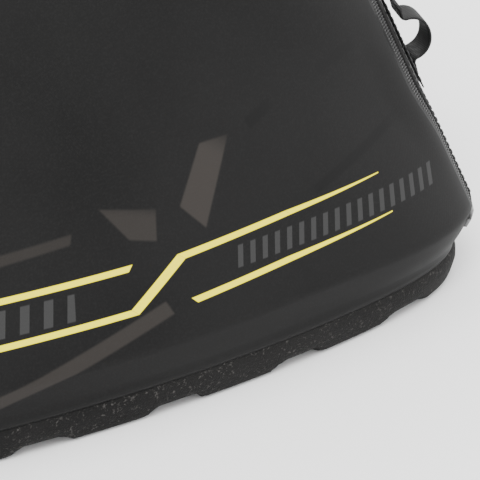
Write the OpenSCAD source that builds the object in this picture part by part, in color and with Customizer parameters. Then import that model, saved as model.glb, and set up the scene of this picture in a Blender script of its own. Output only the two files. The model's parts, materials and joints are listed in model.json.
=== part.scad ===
// Ski boot bag: a wedge-shaped fabric shell on a moulded tray, with a zipped
// front door that folds down, two boot bays, a grab handle and a back harness.
// Millimetres. +Z is up, the front faces -Y, the origin is on the ground under
// the middle of the bag.

/* [Body] */
// Half the width of the body at its widest level
body_half_w = 227; // [223:1:231]
// Distance from the middle of the body to its front and back
body_half_d = 150; // [148:1:154]
// Height of the wall top, where the shoulder curve starts
wall_top_z = 310; // [304:1:316]
// How far each side wall leans in per millimetre of height
side_lean = 0.28; // [0.24:0.01:0.30]
// How far the front leans back per millimetre of height
front_lean = 0.55; // [0.50:0.01:0.57]
// How far the front bows out between its two corners
front_bow = 24; // [16:1:26]
// Thickness of the coated fabric walls with their foam
wall_t = 5; // [4:0.5:6]
// Thickness of the back wall
back_wall_t = 7; // [6:0.5:8]

/* [Tray] */
// Half the width of the moulded tray
tray_half_w = 214; // [211:1:215]
// Height of the ledge that the fabric walls stand on
ledge_z = 21; // [20:1:23]
// Spacing of the foot lobes along the front
lobe_pitch = 76.6; // [75:0.1:78]
// Length of the raised gap between two lobes
gap_len = 28; // [24:1:30]
// Height of the raised gaps above the ground
gap_h = 7; // [5:0.5:8]

/* [Door] */
// Height of the fold line of the front door
fold_z = 42; // [41:1:44]
// Height of the top edge of the front door
door_top_z = 265; // [258:1:268]
// Height of the curve at each top corner of the door
corner_h = 105; // [95:1:110]
// Width of the curve at each top corner of the door
corner_w = 74; // [66:1:80]

/* [Zip] */
// Width of the whole closed zip chain
chain_w = 7; // [6:0.5:8]
// Distance from the middle of the door to each zip slider
slider_x = 14; // [13:1:16]

/* [Handle] */
// Distance between the two pivots of the grab handle
handle_span = 124; // [116:2:130]
// Height of the handle's top above its pivots
handle_rise = 30; // [28:1:34]
// Width of the handle webbing
handle_web_w = 25; // [22:1:26]

/* [Harness] */
// Distance from the middle of the bag to each shoulder strap
strap_x = 72; // [66:1:76]
// Width of the padded shoulder straps
strap_w = 60; // [54:1:64]
// Thickness of the padded shoulder straps
strap_t = 10; // [8:1:12]

/* [Hidden] */
$fn = 48;

shell_grey = [0.17, 0.17, 0.175];
trim_black = [0.06, 0.06, 0.065];
tray_black = [0.14, 0.135, 0.135];
metal_grey = [0.35, 0.35, 0.37];

// The body sits a little forward, so that body and harness share one middle
shift_y = -18;
front_y = shift_y - body_half_d;
back_y = shift_y + body_half_d;
widest_z = 44;
shoulder_r = 26;
top_z = wall_top_z + shoulder_r;
crown_rise = 6;
lean_angle = atan(front_lean);
clear = 0.4;

// ---- the body surface ----

function mix(a, b, s) = a + (b - a) * s;
function clamp01(s) = max(0, min(1, s));
function ease(s) = s * s * (3 - 2 * s);
function unit(v) = v / norm(v);

// Where a direction on the plan meets a square with well rounded corners.
// 0 degrees is the front, 90 the right side and 180 the back.
function plan(a) = [sin(a), -cos(a)] / pow(pow(abs(sin(a)), 8) + pow(abs(cos(a)), 8), 1 / 8);

// The shoulder turns from the wall into the crown
function shoulder_inset(z) = z <= wall_top_z ? 0
    : shoulder_r * (1 - cos(asin(clamp01((z - wall_top_z) / shoulder_r))));
function flare(z) = ease(clamp01((z - ledge_z) / (widest_z - ledge_z)));
function half_w(z) = z < widest_z
    ? mix(tray_half_w - 2, body_half_w, flare(z))
    : body_half_w - side_lean * (z - widest_z) - shoulder_inset(z);
function near_y(z) = front_y + max(0, z - widest_z) * front_lean + shoulder_inset(z);
function far_y(z) = back_y - shoulder_inset(z);

// A point of the body surface, at depth d inside it
function skin(a, z, d = 0) =
    let (
        p = plan(a),
        half = (far_y(z) - near_y(z)) / 2 - d,
        reach = p[1] < 0 ? half - front_bow * p[0] * p[0] : half
    )
    [(half_w(z) - d) * p[0], (near_y(z) + far_y(z)) / 2 + reach * p[1], z];

// The plan direction of a point of the front, from its distance to the middle
function front_angle(x, z) =
    let (u = x / half_w(z)) atan(u / pow(1 - pow(u, 8), 1 / 8));

// ---- solids built on the surface ----

// A closed solid between two grids of points with the same rows and columns
module thick_grid(outer, inner) {
    rows = len(outer);
    cols = len(outer[0]);
    function id(s, r, c) = (s * rows + r) * cols + c;
    function quad(a, b, c, d) = [[a, b, c], [a, c, d]];
    faces = concat(
        [for (r = [0:rows - 2]) for (c = [0:cols - 2])
            each quad(id(0, r, c), id(0, r + 1, c), id(0, r + 1, c + 1), id(0, r, c + 1))],
        [for (r = [0:rows - 2]) for (c = [0:cols - 2])
            each quad(id(1, r, c), id(1, r, c + 1), id(1, r + 1, c + 1), id(1, r + 1, c))],
        [for (c = [0:cols - 2])
            each quad(id(0, 0, c), id(0, 0, c + 1), id(1, 0, c + 1), id(1, 0, c))],
        [for (c = [0:cols - 2])
            each quad(id(0, rows - 1, c + 1), id(0, rows - 1, c), id(1, rows - 1, c), id(1, rows - 1, c + 1))],
        [for (r = [0:rows - 2])
            each quad(id(0, r + 1, 0), id(0, r, 0), id(1, r, 0), id(1, r + 1, 0))],
        [for (r = [0:rows - 2])
            each quad(id(0, r, cols - 1), id(0, r + 1, cols - 1), id(1, r + 1, cols - 1), id(1, r, cols - 1))]
    );
    points = [for (grid = [outer, inner]) for (row = grid) each row];
    polyhedron(points = points, faces = faces, convexity = 8);
}

// A panel of the surface from rows of [plan direction, height] pairs
module panel(grid, t, d = 0) {
    function at(depth) = [for (row = grid) [for (p = row) skin(p[0], p[1], depth)]];
    thick_grid(at(d), at(d + t));
}

// A panel between two plan directions and two heights
module wall(a0, a1, cols, z0, z1, rows, t, d = 0) {
    panel([for (r = [0:rows]) [for (c = [0:cols]) [mix(a0, a1, c / cols), mix(z0, z1, r / rows)]]], t, d);
}

module on_side(side) {
    if (side < 0) mirror([1, 0, 0]) children();
    else children();
}

// ---- the line of the zip, from the lower right end over the top ----

zip_low_z = fold_z - 2;
edge_top_z = door_top_z - corner_h;
edge_steps = 8;
corner_steps = 10;
top_steps = 7;
// The edge sits on the corner of the body at the foot and moves inwards above the knee
foot_a = 48;
upper_a = 45.7;
knee_z = 78;
knee_h = 36;
function edge_a(z) = mix(foot_a, upper_a, ease(clamp01((z - knee_z) / knee_h)));
function edge_x(z) = half_w(z) * plan(edge_a(z))[0];
corner_x = edge_x(door_top_z) - corner_w;
// The right half of the line; the corner's outer end follows the leaning side
right_half = concat(
    [for (i = [0:edge_steps - 1]) let (z = mix(zip_low_z, edge_top_z, i / edge_steps)) [edge_a(z), z]],
    [for (i = [0:corner_steps])
        let (t = 90 * i / corner_steps, z = edge_top_z + corner_h * sin(t))
        [front_angle(edge_x(z) - corner_w * (1 - cos(t)), z), z]],
    [for (i = [1:top_steps])
        [front_angle(corner_x * (1 - i / top_steps), door_top_z), door_top_z]]
);
last_right = len(right_half) - 1;
zip_line = concat(right_half, [for (i = [last_right - 1:-1:0]) [-right_half[i][0], right_half[i][1]]]);
zip_last = len(zip_line) - 1;

// A point beside the zip line, square to it and still on the surface
function beside(i, off) =
    let (
        a = zip_line[i][0],
        z = zip_line[i][1],
        before = zip_line[max(0, i - 1)],
        after = zip_line[min(zip_last, i + 1)],
        along = unit(skin(after[0], after[1]) - skin(before[0], before[1])),
        by_a = (skin(a + 0.1, z) - skin(a - 0.1, z)) / 0.2,
        by_z = (skin(a, z + 0.1) - skin(a, z - 0.1)) / 0.2,
        out = unit(cross(along, unit(cross(by_a, by_z)))) * off,
        aa = by_a * by_a,
        az = by_a * by_z,
        zz = by_z * by_z,
        det = aa * zz - az * az
    )
    [a + ((out * by_a) * zz - (out * by_z) * az) / det, z + ((out * by_z) * aa - (out * by_a) * az) / det];

// A band along the zip line, from off0 to off1 across it
module zip_band(off0, off1, t, d) {
    panel([for (off = [off0, off1]) [for (i = [0:zip_last]) beside(i, off)]], t, d);
}

chain_t = 3;
chain_d = 1;
tape_w = 9;
tape_t = 0.8;
tape_depth = wall_t + 1.4;
panel_gap = chain_w / 2 + 0.3;

module zip_chain_frame() { color(trim_black) zip_band(chain_w / 2, 0.2, chain_t, chain_d); }
module zip_chain_door() { color(trim_black) zip_band(-0.2, -chain_w / 2, chain_t, chain_d); }
module zip_tape_frame() { color(trim_black) zip_band(panel_gap + tape_w, 1, tape_t, tape_depth); }
module zip_tape_door() { color(trim_black) zip_band(-1, -panel_gap - tape_w, tape_t, tape_depth); }

// ---- fabric shell ----

// The side panel's front edge keeps its distance from the zip line
gap_a = beside(1, panel_gap)[0] - zip_line[1][0] + 0.25;
function side_a(z) = edge_a(min(z, edge_top_z)) + gap_a;
back_a = 133;
seam_a = 0.2;
wall_low_z = ledge_z + 0.2;

module side_panel() {
    rows = 12;
    cols = 16;
    color(shell_grey) panel(
        [for (r = [0:rows]) let (z = mix(wall_low_z, wall_top_z, r / rows))
            [for (c = [0:cols]) [mix(side_a(z), back_a, c / cols), z]]],
        wall_t);
}

module back_panel() {
    color(trim_black) wall(back_a + seam_a, 360 - back_a - seam_a, 16, wall_low_z, wall_top_z, 6, back_wall_t);
}

module back_pad() {
    color(shell_grey) wall(148, 174, 4, 70, 296, 4, 8, -8.3);
}

module front_sill() {
    color(shell_grey)
        wall(-side_a(0) + seam_a, side_a(0) - seam_a, 22, wall_low_z, fold_z - 2.5, 3, wall_t);
}

module front_header() {
    // columns rise from the curved top of the zip to the wall top
    first = edge_steps;
    low = [for (i = [first:zip_last - first]) beside(i, panel_gap)];
    limit = side_a(edge_top_z) - seam_a;
    rows = 4;
    color(shell_grey) panel(
        [for (r = [rows:-1:0]) [for (p = low)
            [max(-limit, min(limit, p[0])), mix(p[1], wall_top_z, r / rows)]]],
        wall_t);
}

// Shoulder curve and crown in one piece, closed by a point in the middle
crown_rings = [0, 18, 36, 54, 72, 88];
crown_flats = [0.8, 0.55, 0.28];
function crown_ring(a, d) = concat(
    [for (t = crown_rings)
        let (p = skin(a, wall_top_z + 0.2 + (shoulder_r - 0.2) * sin(t), d)) [p[0], p[1], p[2] - d * sin(t)]],
    [for (k = crown_flats)
        let (p = skin(a, top_z, d), mid_y = (near_y(top_z) + far_y(top_z)) / 2)
        [p[0] * k, mix(mid_y, p[1], k), top_z - d + crown_rise * (1 - k * k)]]
);
module top_panel() {
    cols = 48;
    rings = len(crown_rings) + len(crown_flats);
    sheets = [for (d = [0, wall_t]) [for (c = [0:cols - 1]) crown_ring(360 * c / cols, d)]];
    mid_y = (near_y(top_z) + far_y(top_z)) / 2;
    tips = [for (d = [0, wall_t]) [0, mid_y, top_z + crown_rise - d]];
    tip_id = 2 * cols * rings;
    function id(s, c, r) = (s * cols + c % cols) * rings + r;
    function quad(a, b, c, d) = [[a, b, c], [a, c, d]];
    faces = concat(
        [for (c = [0:cols - 1]) for (r = [0:rings - 2])
            each quad(id(0, c, r), id(0, c, r + 1), id(0, c + 1, r + 1), id(0, c + 1, r))],
        [for (c = [0:cols - 1]) for (r = [0:rings - 2])
            each quad(id(1, c, r), id(1, c + 1, r), id(1, c + 1, r + 1), id(1, c, r + 1))],
        [for (c = [0:cols - 1]) each quad(id(0, c, 0), id(0, c + 1, 0), id(1, c + 1, 0), id(1, c, 0))],
        [for (c = [0:cols - 1]) [id(0, c, rings - 1), tip_id, id(0, c + 1, rings - 1)]],
        [for (c = [0:cols - 1]) [id(1, c, rings - 1), id(1, c + 1, rings - 1), tip_id + 1]]
    );
    points = concat([for (sheet = sheets) for (ring = sheet) each ring], tips);
    color(shell_grey) polyhedron(points = points, faces = faces, convexity = 8);
}

// The upright wall between the two boot bays
divider_t = 4;
module boot_divider() {
    low = tray_floor_z + board_t + 0.2;
    high = wall_top_z - 8;
    inset = wall_t + 12;
    rear = back_y - back_wall_t - 6;
    color([0.25, 0.25, 0.25]) translate([-divider_t / 2, 0, 0]) rotate([90, 0, 90]) linear_extrude(divider_t)
        polygon([
            [front_y + inset, low],
            [rear, low],
            [rear, high],
            [near_y(high) + inset, high],
            [front_y + inset, widest_z],
        ]);
}

// ---- tray ----

function tray_outline(d) = [
    for (a = [0:5:355])
        let (p = plan(a), half = body_half_d - 1 - d, reach = p[1] < 0 ? half - front_bow * p[0] * p[0] : half)
        [(tray_half_w - d) * p[0], shift_y + reach * p[1]]
];
module tray_block(d, z0, z1) {
    translate([0, 0, z0]) linear_extrude(z1 - z0) polygon(tray_outline(d));
}

tray_floor_z = 12;
upstand_t = 3;
upstand_z = 36;
upstand_d = wall_t + 3;
board_t = 3;

module base_tray() {
    color(tray_black) difference() {
        union() {
            tray_block(0, 0, ledge_z);
            tray_block(upstand_d, ledge_z - 1, upstand_z);
        }
        tray_block(upstand_d + upstand_t, tray_floor_z, upstand_z + 1);
        for (i = [-2:2]) translate([i * lobe_pitch - gap_len / 2, -250, -1]) cube([gap_len, 500, gap_h + 1]);
        for (i = [-1:1])
            translate([-250, shift_y + i * lobe_pitch - gap_len / 2, -1]) cube([500, gap_len, gap_h + 1]);
    }
}

module base_board() {
    color([0.3, 0.3, 0.3]) tray_block(upstand_d + upstand_t + 1, tray_floor_z, tray_floor_z + board_t);
}

// ---- door ----

module door_panel() {
    first = 1;
    last = last_right - 1;
    low = beside(0, -panel_gap);
    edge = concat([[low[0], fold_z + 1]], [for (i = [first:last]) beside(i, -panel_gap)]);
    cols = 24;
    color(shell_grey) panel(
        [for (p = edge_rows(edge)) [for (c = [-cols / 2:cols / 2]) [p[0] * c * 2 / cols, p[1]]]],
        wall_t);
}
// Rows stop where the edge turns level
function edge_rows(edge) = [
    for (i = [0:len(edge) - 1])
        if (i == 0 || edge[i][1] > edge[i - 1][1] + 0.3) edge[i]
];

module door_pocket() {
    color([0.1, 0.1, 0.1]) wall(-34, 34, 14, fold_z + 30, fold_z + 130, 3, 1.6, wall_t + 2.5);
}

// ---- zip sliders and pulls ----

// Moves its children onto the leaning front: +Y up the slope, +Z straight out
module on_front(x, up) {
    p = skin(front_angle(x, door_top_z), door_top_z);
    translate(p) rotate([90 - lean_angle, 0, 0]) translate([0, up, 0]) children();
}

slider_up = 5.2;
slider_clear = 1;
slider_t = 2;
slider_l = 13;
slider_w = 8.6;
pin_r = 1.2;
pin_z = 5.6;
eye_r = 2.4;
eye_w = 3.4;
pull_l = 26;
pull_t = 1.8;

module zip_slider() {
    color(metal_grey) on_front(slider_x, slider_up) {
        translate([0, 0, slider_clear]) linear_extrude(slider_t) slider_plate();
        for (side = [-1, 1]) translate([0, side * (eye_w / 2 + 1.3), 0]) slider_lug();
        translate([0, 0, pin_z]) rotate([90, 0, 0]) cylinder(h = eye_w + 4, r = pin_r, center = true);
    }
}
// The slider's outline tapers where the chain closes
module slider_plate() {
    polygon([
        [-slider_l / 2, -slider_w / 2], [slider_l / 4, -slider_w / 2], [slider_l / 2, -slider_w / 4],
        [slider_l / 2, slider_w / 4], [slider_l / 4, slider_w / 2], [-slider_l / 2, slider_w / 2],
    ]);
}
module slider_lug() {
    rotate([90, 0, 0]) linear_extrude(1.6, center = true)
        polygon([[-3.4, 2], [3.4, 2], [2.2, pin_z + 1.6], [-2.2, pin_z + 1.6]]);
}

module zip_pull() {
    color(metal_grey) on_front(slider_x, slider_up) translate([0, 0, pin_z]) {
        rotate([90, 0, 0]) difference() {
            cylinder(h = eye_w, r = eye_r, center = true);
            cylinder(h = eye_w + 2, r = pin_r + 0.15, center = true);
        }
        translate([eye_r - 0.6, -eye_w / 2, -pull_t / 2]) cube([pull_l, eye_w, pull_t]);
    }
}

grip_l = 20;
grip_w = 7.4;
grip_t = 4.4;
module pull_grip() {
    color(trim_black) on_front(slider_x, slider_up) translate([pull_l - 2 + grip_l / 2, 0, pin_z]) {
        difference() {
            linear_extrude(grip_t, center = true) grip_outline();
            translate([-grip_l / 2 - 1, -eye_w / 2, -pull_t / 2])
                cube([eye_r - 0.6 + pull_l - (pull_l - 2) + 1, eye_w, pull_t]);
        }
    }
}
module grip_outline() {
    difference() {
        square([grip_l, grip_w], center = true);
        for (side = [-1, 1]) translate([0, side * (grip_w / 2 + 8.8)]) circle(r = 9.6);
    }
}

// A small clip on the sill just below the end of the chain
stop_h = 4;
stop_t = 1.6;
module zip_stop() {
    color(metal_grey) panel(
        [for (z = [zip_low_z - 1 - stop_h, zip_low_z - 1]) [for (k = [-1:1]) [foot_a + 2.6 * k, z]]],
        stop_t, -stop_t - 0.2);
}

// ---- grab handle ----

crown_y = (near_y(top_z) + far_y(top_z)) / 2;
function crown_z(x) =
    let (u = min(1, abs(x) / half_w(top_z))) top_z + crown_rise * (1 - u * u);
pivot_x = handle_span / 2;
pivot_z = top_z + crown_rise + handle_web_w / 2 + 1.5;
web_t = 3;
rivet_r = 2.5;
tab_t = 3;

module handle_tab() {
    // stands on the crown beside the handle's end and carries its rivet
    foot_z = crown_z(pivot_x) + clear;
    color(trim_black) {
        translate([pivot_x + web_t + clear, crown_y - handle_web_w / 2, foot_z]) difference() {
            cube([tab_t, handle_web_w, pivot_z + handle_web_w / 2 - foot_z]);
            translate([-1, handle_web_w / 2, pivot_z - foot_z]) rotate([0, 90, 0]) cylinder(h = tab_t + 2, r = rivet_r);
        }
        translate([pivot_x + web_t + clear, crown_y - handle_web_w / 2, foot_z]) cube([26, handle_web_w, 2.4]);
    }
}

module handle_rivet() {
    color(metal_grey) translate([pivot_x - 1.6, crown_y, pivot_z]) rotate([0, 90, 0]) {
        cylinder(h = 1.4, r = rivet_r + 2.5);
        cylinder(h = 1.6 + web_t + clear + tab_t, r = rivet_r);
        translate([0, 0, 1.6 + web_t + clear + tab_t]) cylinder(h = 1.4, r = rivet_r + 2.5);
    }
}

handle_bend_r = 16;
grip_half = 42;
module handle_web() {
    color(trim_black) translate([0, crown_y, pivot_z]) {
        difference() {
            union() {
                rotate([90, 0, 0]) linear_extrude(handle_web_w, center = true) handle_profile();
                for (side = [-1, 1]) translate([side * (pivot_x + web_t / 2), 0, 0])
                    rotate([0, 90, 0]) cylinder(h = web_t, r = handle_web_w / 2, center = true);
            }
            rotate([0, 90, 0]) cylinder(h = 400, r = rivet_r + 0.15, center = true);
        }
    }
}
// The handle's arch seen from the front, from pivot to pivot
module handle_profile() {
    difference() {
        handle_arch(pivot_x + web_t, handle_rise, handle_bend_r + web_t);
        translate([0, -1]) handle_arch(pivot_x, handle_rise - web_t + 1, handle_bend_r);
    }
}
module handle_arch(half, rise, r) {
    translate([-half + r, 0]) square([2 * (half - r), rise]);
    translate([-half, 0]) square([2 * half, rise - r]);
    intersection() {
        translate([-half, 0]) square([2 * half, rise]);
        for (side = [-1, 1]) translate([side * (half - r), rise - r]) circle(r = r);
    }
}

sleeve_t = 3;
module handle_grip() {
    // a padded sleeve around the middle of the handle
    color(shell_grey) translate([0, crown_y, pivot_z + handle_rise - web_t / 2]) rotate([0, 90, 0])
        difference() {
            linear_extrude(2 * grip_half, center = true) sleeve(web_t / 2 + sleeve_t, handle_web_w / 2 + sleeve_t);
            cube([web_t, handle_web_w, 200], center = true);
        }
}
module sleeve(half_t, half_l) {
    square([2 * half_t, 2 * (half_l - half_t)], center = true);
    for (side = [-1, 1]) translate([0, side * (half_l - half_t)]) circle(r = half_t);
}

// ---- side loops ----

loop_z = 127;
loop_a = 54.5;
loop_turn = 14;
loop_w = 18;
loop_reach = 15;
loop_half = 14;
loop_t = 1.8;
loop_stand = 3.3;
patch_half = 24;

// Moves its children onto the right side wall, just behind the door's edge
module on_side_wall() {
    translate(skin(loop_a, loop_z)) rotate([0, 0, -loop_turn]) rotate([0, -atan(side_lean), 0]) children();
}
module side_loop_patch() {
    color(trim_black) wall(loop_a - 4, loop_a + 4.5, 4, loop_z - patch_half, loop_z + patch_half, 2, 0.9, -1.2);
}
module side_loop() {
    color(trim_black) on_side_wall() translate([loop_stand, loop_w / 2, 0]) rotate([90, 0, 0]) linear_extrude(loop_w) {
        difference() {
            loop_shape(loop_reach, loop_half);
            loop_shape(loop_reach - loop_t, loop_half - loop_t);
        }
        for (side = [-1, 1]) translate([0, side * (loop_half + 3) - 4.5]) square([loop_t, 9]);
    }
}
module loop_shape(reach, half) {
    intersection() {
        scale([reach / half, 1]) circle(r = half);
        translate([0, -half]) square([reach, 2 * half]);
    }
}

// ---- harness on the back ----

yoke_z = 288;
strap_top_z = 276.6;
strap_low_z = 128;
pad_face = back_y + 8.4;
// How far the middle of a strap stands off the back pads at a height
function strap_off(z) = strap_t / 2 + 0.6 + 18 * sin(180 * clamp01((z - 70) / (strap_top_z - 70)));
function strap_line(z) = [pad_face + strap_off(z), z];
// A band that follows a line of points, seen from the side
module side_band(points, t, w) {
    last = len(points) - 1;
    function across(i) =
        let (d = unit(points[min(last, i + 1)] - points[max(0, i - 1)])) [-d[1], d[0]] * t / 2;
    rotate([90, 0, 90]) linear_extrude(w, center = true)
        polygon(concat([for (i = [0:last]) points[i] + across(i)], [for (i = [last:-1:0]) points[i] - across(i)]));
}

module strap() {
    steps = 12;
    color(shell_grey) translate([strap_x, 0, 0])
        side_band([for (i = [0:steps]) strap_line(mix(strap_top_z, strap_low_z, i / steps))], strap_t, strap_w);
}

// A folded and stitched plate that holds both strap ends under the shoulder
yoke_h = 22;
yoke_t = 6;
module strap_yoke() {
    half = strap_x + strap_w / 2 + 4;
    color(trim_black) translate([0, pad_face + 0.3, yoke_z]) rotate([-90, 0, 0]) linear_extrude(yoke_t)
        polygon([
            [-half, yoke_h / 2], [half, yoke_h / 2], [half, -yoke_h / 4],
            [half - 10, -yoke_h / 2], [-half + 10, -yoke_h / 2], [-half, -yoke_h / 4],
        ]);
}

lock_z = strap_low_z - 16;
web_w = 25;
module ladder_lock() {
    // a flat buckle with two slots for the webbing
    p = strap_line(lock_z);
    color([0.09, 0.09, 0.09]) translate([strap_x, p[0], p[1]]) rotate([-8, 0, 0]) difference() {
        cube([web_w + 12, 4, 28], center = true);
        for (side = [-1, 1]) translate([0, 0, side * 7]) cube([web_w + 2, 20, 4], center = true);
    }
}

anchor_z = 62;
strap_web_t = 1.6;
// The webbing runs straight from the buckle down to the face of its anchor
module strap_web() {
    foot = [back_y + 0.3 + anchor_t + strap_web_t / 2 + 0.3, anchor_z - 4];
    color(trim_black) translate([strap_x, 0, 0]) side_band([strap_line(lock_z - 15), foot], strap_web_t, web_w);
}

// A sewn triangle of webbing that takes the lower end of the strap
anchor_t = 5;
module strap_anchor() {
    half = web_w / 2 + 4;
    color(trim_black) translate([strap_x, back_y + 0.3, anchor_z]) rotate([-90, 0, 0]) linear_extrude(anchor_t)
        polygon([[-half, -6], [half, -6], [half + 14, 22], [-half - 14, 22]]);
}

// ---- placing ----

base_tray();
base_board();
side_panel();  // side_panel_right
on_side(-1) side_panel();  // side_panel_left
back_panel();
back_pad();  // back_pad_right
on_side(-1) back_pad();  // back_pad_left
top_panel();
front_sill();
front_header();
boot_divider();
zip_chain_frame();
zip_tape_frame();
zip_stop();  // zip_stop_right
on_side(-1) zip_stop();  // zip_stop_left
side_loop();  // side_loop_right
on_side(-1) side_loop();  // side_loop_left
side_loop_patch();  // side_loop_patch_right
on_side(-1) side_loop_patch();  // side_loop_patch_left
strap_yoke();
strap();  // strap_right
on_side(-1) strap();  // strap_left
strap_web();  // strap_web_right
on_side(-1) strap_web();  // strap_web_left
ladder_lock();  // ladder_lock_right
on_side(-1) ladder_lock();  // ladder_lock_left
strap_anchor();  // strap_anchor_right
on_side(-1) strap_anchor();  // strap_anchor_left
handle_tab();  // handle_tab_right
on_side(-1) handle_tab();  // handle_tab_left
handle_rivet();  // handle_rivet_right
on_side(-1) handle_rivet();  // handle_rivet_left
door_panel();
zip_chain_door();
zip_tape_door();
door_pocket();
zip_slider();  // zip_slider_right
on_side(-1) zip_slider();  // zip_slider_left
zip_pull();  // zip_pull_right
on_side(-1) zip_pull();  // zip_pull_left
pull_grip();  // pull_grip_right
on_side(-1) pull_grip();  // pull_grip_left
handle_web();
handle_grip();
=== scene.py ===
"""Ski boot bag: the looks, in metres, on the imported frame."""
import json
from math import asin, atan, cos, degrees, hypot, pi, radians, sin, sqrt

import bmesh
import bpy
from mathutils import Matrix, Vector, noise

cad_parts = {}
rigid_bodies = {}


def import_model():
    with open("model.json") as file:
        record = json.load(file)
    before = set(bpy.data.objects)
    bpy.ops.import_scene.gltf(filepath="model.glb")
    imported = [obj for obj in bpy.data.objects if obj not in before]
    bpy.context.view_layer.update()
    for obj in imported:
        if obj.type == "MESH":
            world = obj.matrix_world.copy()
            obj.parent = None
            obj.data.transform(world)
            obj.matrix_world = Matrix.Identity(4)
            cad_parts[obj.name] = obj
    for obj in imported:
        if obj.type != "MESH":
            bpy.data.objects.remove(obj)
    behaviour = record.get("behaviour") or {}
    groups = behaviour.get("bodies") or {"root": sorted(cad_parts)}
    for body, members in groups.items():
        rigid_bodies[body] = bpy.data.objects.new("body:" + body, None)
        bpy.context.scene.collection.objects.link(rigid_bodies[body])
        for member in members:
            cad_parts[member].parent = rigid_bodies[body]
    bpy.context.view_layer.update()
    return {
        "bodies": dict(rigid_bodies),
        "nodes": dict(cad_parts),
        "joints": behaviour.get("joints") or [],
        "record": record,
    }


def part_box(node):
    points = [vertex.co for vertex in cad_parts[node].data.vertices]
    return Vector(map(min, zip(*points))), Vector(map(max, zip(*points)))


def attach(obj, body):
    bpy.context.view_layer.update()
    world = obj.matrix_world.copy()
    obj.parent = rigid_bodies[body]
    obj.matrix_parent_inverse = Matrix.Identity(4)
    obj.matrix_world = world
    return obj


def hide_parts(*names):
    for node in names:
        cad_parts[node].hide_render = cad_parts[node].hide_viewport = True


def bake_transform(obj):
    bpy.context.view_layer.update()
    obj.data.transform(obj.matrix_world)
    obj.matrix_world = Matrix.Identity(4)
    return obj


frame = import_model()
frame["slots"] = {part["node"]: part.get("material_slot") for part in frame["record"]["subparts"]}
MM = 0.001

# ---- the body surface, as the CAD model has it ----

BODY_HALF_W = 227 * MM
FRONT_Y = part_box("door_panel")[0].y
BACK_Y = 132 * MM
WALL_TOP = 310 * MM
SIDE_LEAN = 0.28
FRONT_LEAN = 0.55
FRONT_BOW = 24 * MM
TRAY_HALF_W = 214 * MM
TRAY_HALF_D = 149 * MM
LEDGE = 21 * MM
WIDEST = 44 * MM
SHOULDER_R = 26 * MM
CROWN_RISE = 6 * MM
TOP = WALL_TOP + SHOULDER_R
MID_Y = (FRONT_Y + BACK_Y) / 2
FOLD_Z = 42 * MM
DOOR_TOP = 265 * MM
CORNER_H = 105 * MM
CORNER_W = 74 * MM
CHAIN_W = 7 * MM
PANEL_GAP = CHAIN_W / 2 + 0.3 * MM
BACK_A = 133
LOBE_PITCH = 76.6 * MM
GAP_LEN = 28 * MM
GAP_H = 7 * MM


def mix(a, b, s):
    return a + (b - a) * s


def clamp01(s):
    return max(0.0, min(1.0, s))


def ease(s):
    s = clamp01(s)
    return s * s * (3 - 2 * s)


def plan(a):
    """A direction on the plan (0 front, 90 right, 180 back) on a square with round corners."""
    s, c = sin(radians(a)), cos(radians(a))
    r = (abs(s) ** 8 + abs(c) ** 8) ** (1 / 8)
    return s / r, -c / r


def shoulder_inset(z):
    if z <= WALL_TOP:
        return 0.0
    return SHOULDER_R * (1 - cos(asin(clamp01((z - WALL_TOP) / SHOULDER_R))))


def half_w(z):
    if z < WIDEST:
        return mix(TRAY_HALF_W - 2 * MM, BODY_HALF_W, ease((z - LEDGE) / (WIDEST - LEDGE)))
    return BODY_HALF_W - SIDE_LEAN * (z - WIDEST) - shoulder_inset(z)


def near_y(z):
    return FRONT_Y + max(0.0, z - WIDEST) * FRONT_LEAN + shoulder_inset(z)


def far_y(z):
    return BACK_Y - shoulder_inset(z)


def skin(a, z, d=0.0):
    """A point of the body surface, at depth d inside it."""
    u, v = plan(a)
    half = (far_y(z) - near_y(z)) / 2 - d
    reach = half - FRONT_BOW * u * u if v < 0 else half
    return Vector(((half_w(z) - d) * u, (near_y(z) + far_y(z)) / 2 + reach * v, z))


def skin_normal(a, z):
    """Straight out of the body surface."""
    across = skin(a + 0.2, z) - skin(a - 0.2, z)
    up = skin(a, z + 0.2 * MM) - skin(a, z - 0.2 * MM)
    return across.cross(up).normalized()


def front_angle(x, z):
    """The plan direction of a point of the front, from its distance to the middle."""
    u = max(-0.999, min(0.999, x / half_w(z)))
    return degrees(atan(u / (1 - abs(u) ** 8) ** (1 / 8)))


def edge_a(z):
    """The plan direction of the zip line on the side of the door."""
    return mix(48, 45.7, ease((z - 78 * MM) / (36 * MM)))


def edge_x(z):
    return half_w(z) * plan(edge_a(z))[0]


EDGE_TOP = DOOR_TOP - CORNER_H
ZIP_LOW = FOLD_Z - 2 * MM


def zip_line():
    """Points [plan direction, height] of the zip's middle, from the lower right over the top."""
    half = [(edge_a(z), z) for z in spread(ZIP_LOW, EDGE_TOP, 40)]
    for i in range(1, 33):
        t = pi / 2 * i / 32
        z = EDGE_TOP + CORNER_H * sin(t)
        half.append((front_angle(edge_x(z) - CORNER_W * (1 - cos(t)), z), z))
    corner_x = edge_x(DOOR_TOP) - CORNER_W
    for i in range(1, 15):
        half.append((front_angle(corner_x * (1 - i / 14), DOOR_TOP), DOOR_TOP))
    return half + [(-a, z) for a, z in half[-2::-1]]


def spread(a, b, count):
    """count values from a up to, but not including, b."""
    return [mix(a, b, i / count) for i in range(count)]


ZIP = zip_line()
TOOTH_PITCH = 1.75 * MM
TAPE_DEPTH = 5.4 * MM
GUSSET_SEAM = 5.5 * MM


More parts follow.
